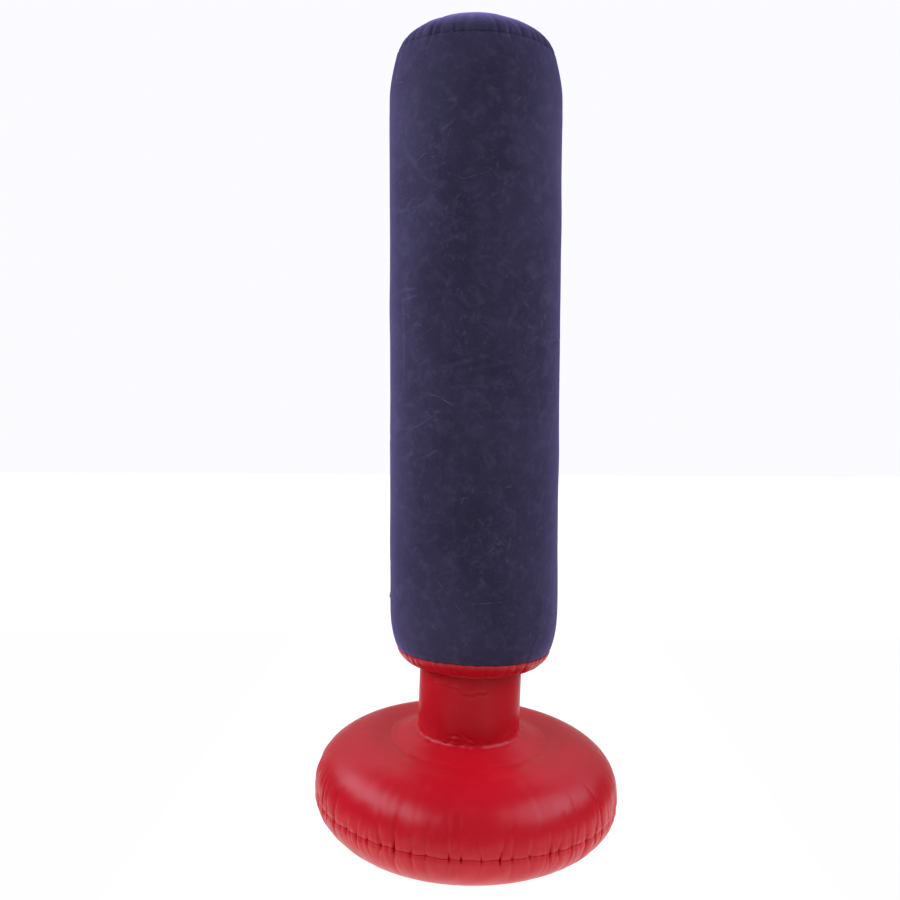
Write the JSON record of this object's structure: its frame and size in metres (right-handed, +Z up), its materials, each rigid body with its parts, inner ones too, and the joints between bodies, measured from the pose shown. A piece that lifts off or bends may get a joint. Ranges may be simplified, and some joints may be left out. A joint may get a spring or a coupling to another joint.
{
  "type": "free standing bag",
  "caption": "Inflatable free standing punching bag: a flocked column on a bending neck over a round water-ballasted base.",
  "frame": {"origin": "centre of the base on the floor", "axes": "+Z up the column, -Y towards the front, +X to the right seen from the front"},
  "size_m": [0.598, 0.598, 1.6],
  "materials": {
    "flocked_pvc": "dark navy flock on PVC sheet, matt and velvety",
    "red_pvc": "red PVC sheet, satin",
    "clear_pvc": "soft translucent moulded PVC",
    "seal_rubber": "pale soft seal",
    "water": "clear water"
  },
  "bodies": {
    "base": {"base_upper_panel": "red_pvc", "base_lower_panel": "red_pvc", "base_tie_tube": "red_pvc", "water_ballast": "water", "neck_lower_flange": "red_pvc", "base_filler_patch": "red_pvc", "filler_collar": "clear_pvc"},
    "filler_check_flap": {"filler_flap": "clear_pvc"},
    "cap_tether": {"filler_tether": "clear_pvc"},
    "cap": {"filler_cap": "clear_pvc", "filler_gasket": "seal_rubber"},
    "neck": {"neck_tube": "red_pvc"},
    "column": {"neck_upper_flange": "red_pvc", "column_bottom_panel": "red_pvc", "column_side_panel": "flocked_pvc", "column_lap_strip": "flocked_pvc", "column_top_panel": "flocked_pvc", "column_valve_patch": "clear_pvc"},
    "valve_stem": {"column_valve_stem": "clear_pvc"},
    "valve_check_flap": {"column_valve_flap": "clear_pvc"},
    "valve_plug": {"column_valve_plug": "clear_pvc", "column_valve_strap": "clear_pvc"}
  },
  "joints": [
    {"name": "sway_fore_aft", "type": "hinge", "parent": "base", "child": "neck", "pos_m": [0, 0, 0.258], "axis": [1, 0, 0], "range_deg": [-20, 20], "stiffness_Nm_per_rad": 45, "deforming": ["neck_tube"]},
    {"name": "sway_side", "type": "hinge", "parent": "neck", "child": "column", "pos_m": [0, 0, 0.322], "axis": [0, 1, 0], "range_deg": [-20, 20], "stiffness_Nm_per_rad": 45, "deforming": ["neck_tube"]},
    {"name": "valve_stem_push", "type": "slide", "parent": "column", "child": "valve_stem", "axis": [-0.9239, 0.3827, 0], "range_m": [-0.012, 0]},
    {"name": "valve_flap_open", "type": "hinge", "parent": "valve_stem", "child": "valve_check_flap", "pos_m": [-0.146, 0.0605, 0.4835], "axis": [-0.3827, -0.9239, 0], "range_deg": [0, 60], "stiffness_Nm_per_rad": 0.0004},
    {"name": "valve_plug_pull", "type": "slide", "parent": "valve_stem", "child": "valve_plug", "axis": [-0.9239, 0.3827, 0], "range_m": [0, 0.02], "deforming": ["column_valve_strap"]},
    {"name": "filler_flap_open", "type": "hinge", "parent": "base", "child": "filler_check_flap", "pos_m": [0, 0.2085, 0.2114], "axis": [1, 0, 0], "range_deg": [0, 70], "stiffness_Nm_per_rad": 0.002},
    {"name": "cap_lift", "type": "slide", "parent": "base", "child": "cap_tether", "axis": [0, 0, 1], "range_m": [0, 0.016], "deforming": ["filler_tether"]},
    {"name": "cap_turn", "type": "hinge", "parent": "cap_tether", "child": "cap", "pos_m": [0, 0.193, 0.22], "axis": [0, 0, 1], "range_deg": [0, 1441]}
  ],
  "couplings": [
    {"joint": "cap_turn", "follows": "cap_lift", "rad_per_m": 1570.8}
  ]
}
